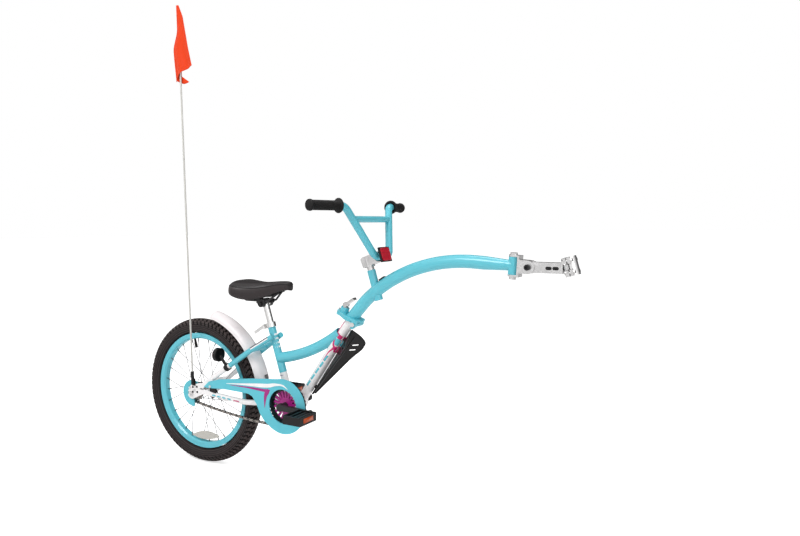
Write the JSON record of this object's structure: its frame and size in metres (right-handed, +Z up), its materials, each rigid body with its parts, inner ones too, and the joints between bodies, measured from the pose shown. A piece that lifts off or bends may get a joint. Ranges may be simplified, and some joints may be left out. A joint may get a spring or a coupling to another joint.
{
  "type": "trailer bike",
  "caption": "child's trailer bike: curved folding boom with a seatpost hitch, handlebar, saddle, chain drive, rear wheel, fender and safety flag",
  "frame": {"origin": "middle of the hitch clamp's bore, on its axis", "axes": "+X forward, towards the towing bicycle; +Y to the rider's left; +Z up; the wheel stands on the ground below"},
  "size_m": [1.5794, 0.5188, 1.5617],
  "materials": {
    "teal_paint": "gloss powder coat",
    "white_paint": "gloss powder coat",
    "zinc_steel": "zinc plated steel",
    "chrome": "polished chrome plate",
    "dark_steel": "black oxide steel",
    "chain_steel": "oiled brown steel",
    "rubber": "moulded rubber",
    "tyre_rubber": "moulded tyre rubber",
    "black_plastic": "moulded grained plastic",
    "teal_plastic": "moulded plastic",
    "white_plastic": "moulded plastic",
    "magenta_plastic": "moulded plastic",
    "red_lens": "moulded prism lens",
    "clear_lens": "moulded prism lens",
    "seat_vinyl": "grained vinyl",
    "flag_cloth": "woven nylon"
  },
  "bodies": {
    "hitch": {"hitch_bar": "zinc_steel", "clamp_shell": "zinc_steel", "clamp_bolts": "chrome"},
    "yoke": {"yoke_bracket": "zinc_steel", "pitch_bolt": "dark_steel", "kingpin": "zinc_steel"},
    "boom": {"boom_tube": "teal_paint", "bar_mast": "teal_paint", "hinge_upper_plate": "teal_paint", "boom_pad": "rubber", "latch_bolt": "zinc_steel"},
    "latch": {"latch_lever": "chrome"},
    "stem": {"stem_body": "zinc_steel", "stem_bolts": "dark_steel"},
    "bars": {"handlebar": "teal_paint", "grips": "rubber", "bar_reflector": "black_plastic", "bar_reflector_lens": "red_lens"},
    "rear_frame": {"hinge_lower_plate": "teal_paint", "hinge_pin": "chrome", "down_tube": "white_paint", "top_tube": "teal_paint", "seat_tube": "teal_paint", "bb_shell": "white_paint", "chainstays": "white_paint", "seatstays": "teal_paint", "dropouts": "white_paint", "seat_clamp": "chrome", "bb_cups": "zinc_steel", "rear_axle": "zinc_steel", "chain_guard": "teal_plastic", "guard_bracket": "black_plastic", "cog_guard": "teal_plastic", "fender": "white_plastic", "frame_bolts": "zinc_steel", "splash_guard": "black_plastic", "flag_socket": "black_plastic", "flag_pole": "white_plastic", "flag": "flag_cloth", "rear_reflector": "black_plastic", "rear_reflector_lens": "red_lens", "chain": "chain_steel"},
    "seat_quick_release": {"seat_lever": "chrome"},
    "post": {"seatpost": "chrome"},
    "saddle": {"saddle_cover": "seat_vinyl", "saddle_base": "black_plastic", "saddle_rails": "dark_steel", "saddle_clamp": "dark_steel"},
    "cranks": {"crank": "dark_steel", "chainring": "magenta_plastic"},
    "near_pedal": {"pedal_right": "black_plastic"},
    "far_pedal": {"pedal_left": "black_plastic"},
    "cog": {"freewheel_cog": "chain_steel"},
    "wheel": {"hub_shell": "zinc_steel", "hub_bearings": "zinc_steel", "spokes": "zinc_steel", "rim": "teal_paint", "tyre": "tyre_rubber", "inner_tube": "rubber", "spoke_reflector": "clear_lens"}
  },
  "joints": [
    {"name": "hitch_pitch", "type": "hinge", "parent": "hitch", "child": "yoke", "pos_m": [-0.11, 0, -0.0056], "axis": [0, 1, 0], "range_deg": [-25, 25]},
    {"name": "hitch_yaw", "type": "hinge", "parent": "yoke", "child": "boom", "pos_m": [-0.15493, 0, -0.00301], "axis": [0.0576, 0, 0.9983], "range_deg": [-60, 60]},
    {"name": "fold_hinge", "type": "hinge", "parent": "boom", "child": "rear_frame", "pos_m": [-0.65276, 0, -0.19736], "axis": [0, -1, 0], "range_deg": [0, 100]},
    {"name": "latch_fold", "type": "hinge", "parent": "boom", "child": "latch", "pos_m": [-0.69129, 0, -0.14033], "axis": [0, -1, 0], "range_deg": [0, 110]},
    {"name": "stem_height", "type": "slide", "parent": "boom", "child": "stem", "axis": [-0.2924, 0, 0.9563], "range_m": [-0.008, 0.02]},
    {"name": "bar_roll", "type": "hinge", "parent": "stem", "child": "bars", "pos_m": [-0.56266, 0, 0.01171], "axis": [0, 1, 0], "range_deg": [-20, 20]},
    {"name": "seat_lever_open", "type": "hinge", "parent": "rear_frame", "child": "seat_quick_release", "pos_m": [-1.01064, -0.0145, -0.23284], "axis": [-0.5225, 0, 0.8526], "range_deg": [0, 120]},
    {"name": "post_height", "type": "slide", "parent": "rear_frame", "child": "post", "axis": [-0.3007, 0, 0.9537], "range_m": [-0.045, 0.025]},
    {"name": "saddle_tilt", "type": "hinge", "parent": "post", "child": "saddle", "pos_m": [-1.0125, 0, -0.15479], "axis": [0, 1, 0], "range_deg": [-12, 12]},
    {"name": "crank_spin", "type": "hinge", "parent": "rear_frame", "child": "cranks", "pos_m": [-0.89576, 0, -0.47429], "axis": [0, 1, 0], "continuous": true},
    {"name": "near_pedal_spin", "type": "hinge", "parent": "cranks", "child": "near_pedal", "pos_m": [-0.78183, -0.08, -0.47826], "axis": [0, 1, 0], "continuous": true},
    {"name": "far_pedal_spin", "type": "hinge", "parent": "cranks", "child": "far_pedal", "pos_m": [-1.00969, 0.08, -0.47031], "axis": [0, 1, 0], "continuous": true},
    {"name": "cog_spin", "type": "hinge", "parent": "rear_frame", "child": "cog", "pos_m": [-1.29776, -0.042, -0.48229], "axis": [0, 1, 0], "continuous": true},
    {"name": "wheel_spin", "type": "hinge", "parent": "rear_frame", "child": "wheel", "pos_m": [-1.29776, 0, -0.48229], "axis": [0, 1, 0], "continuous": true}
  ],
  "couplings": [
    {"joint": "cog_spin", "follows": "crank_spin", "ratio": 2.25}
  ]
}
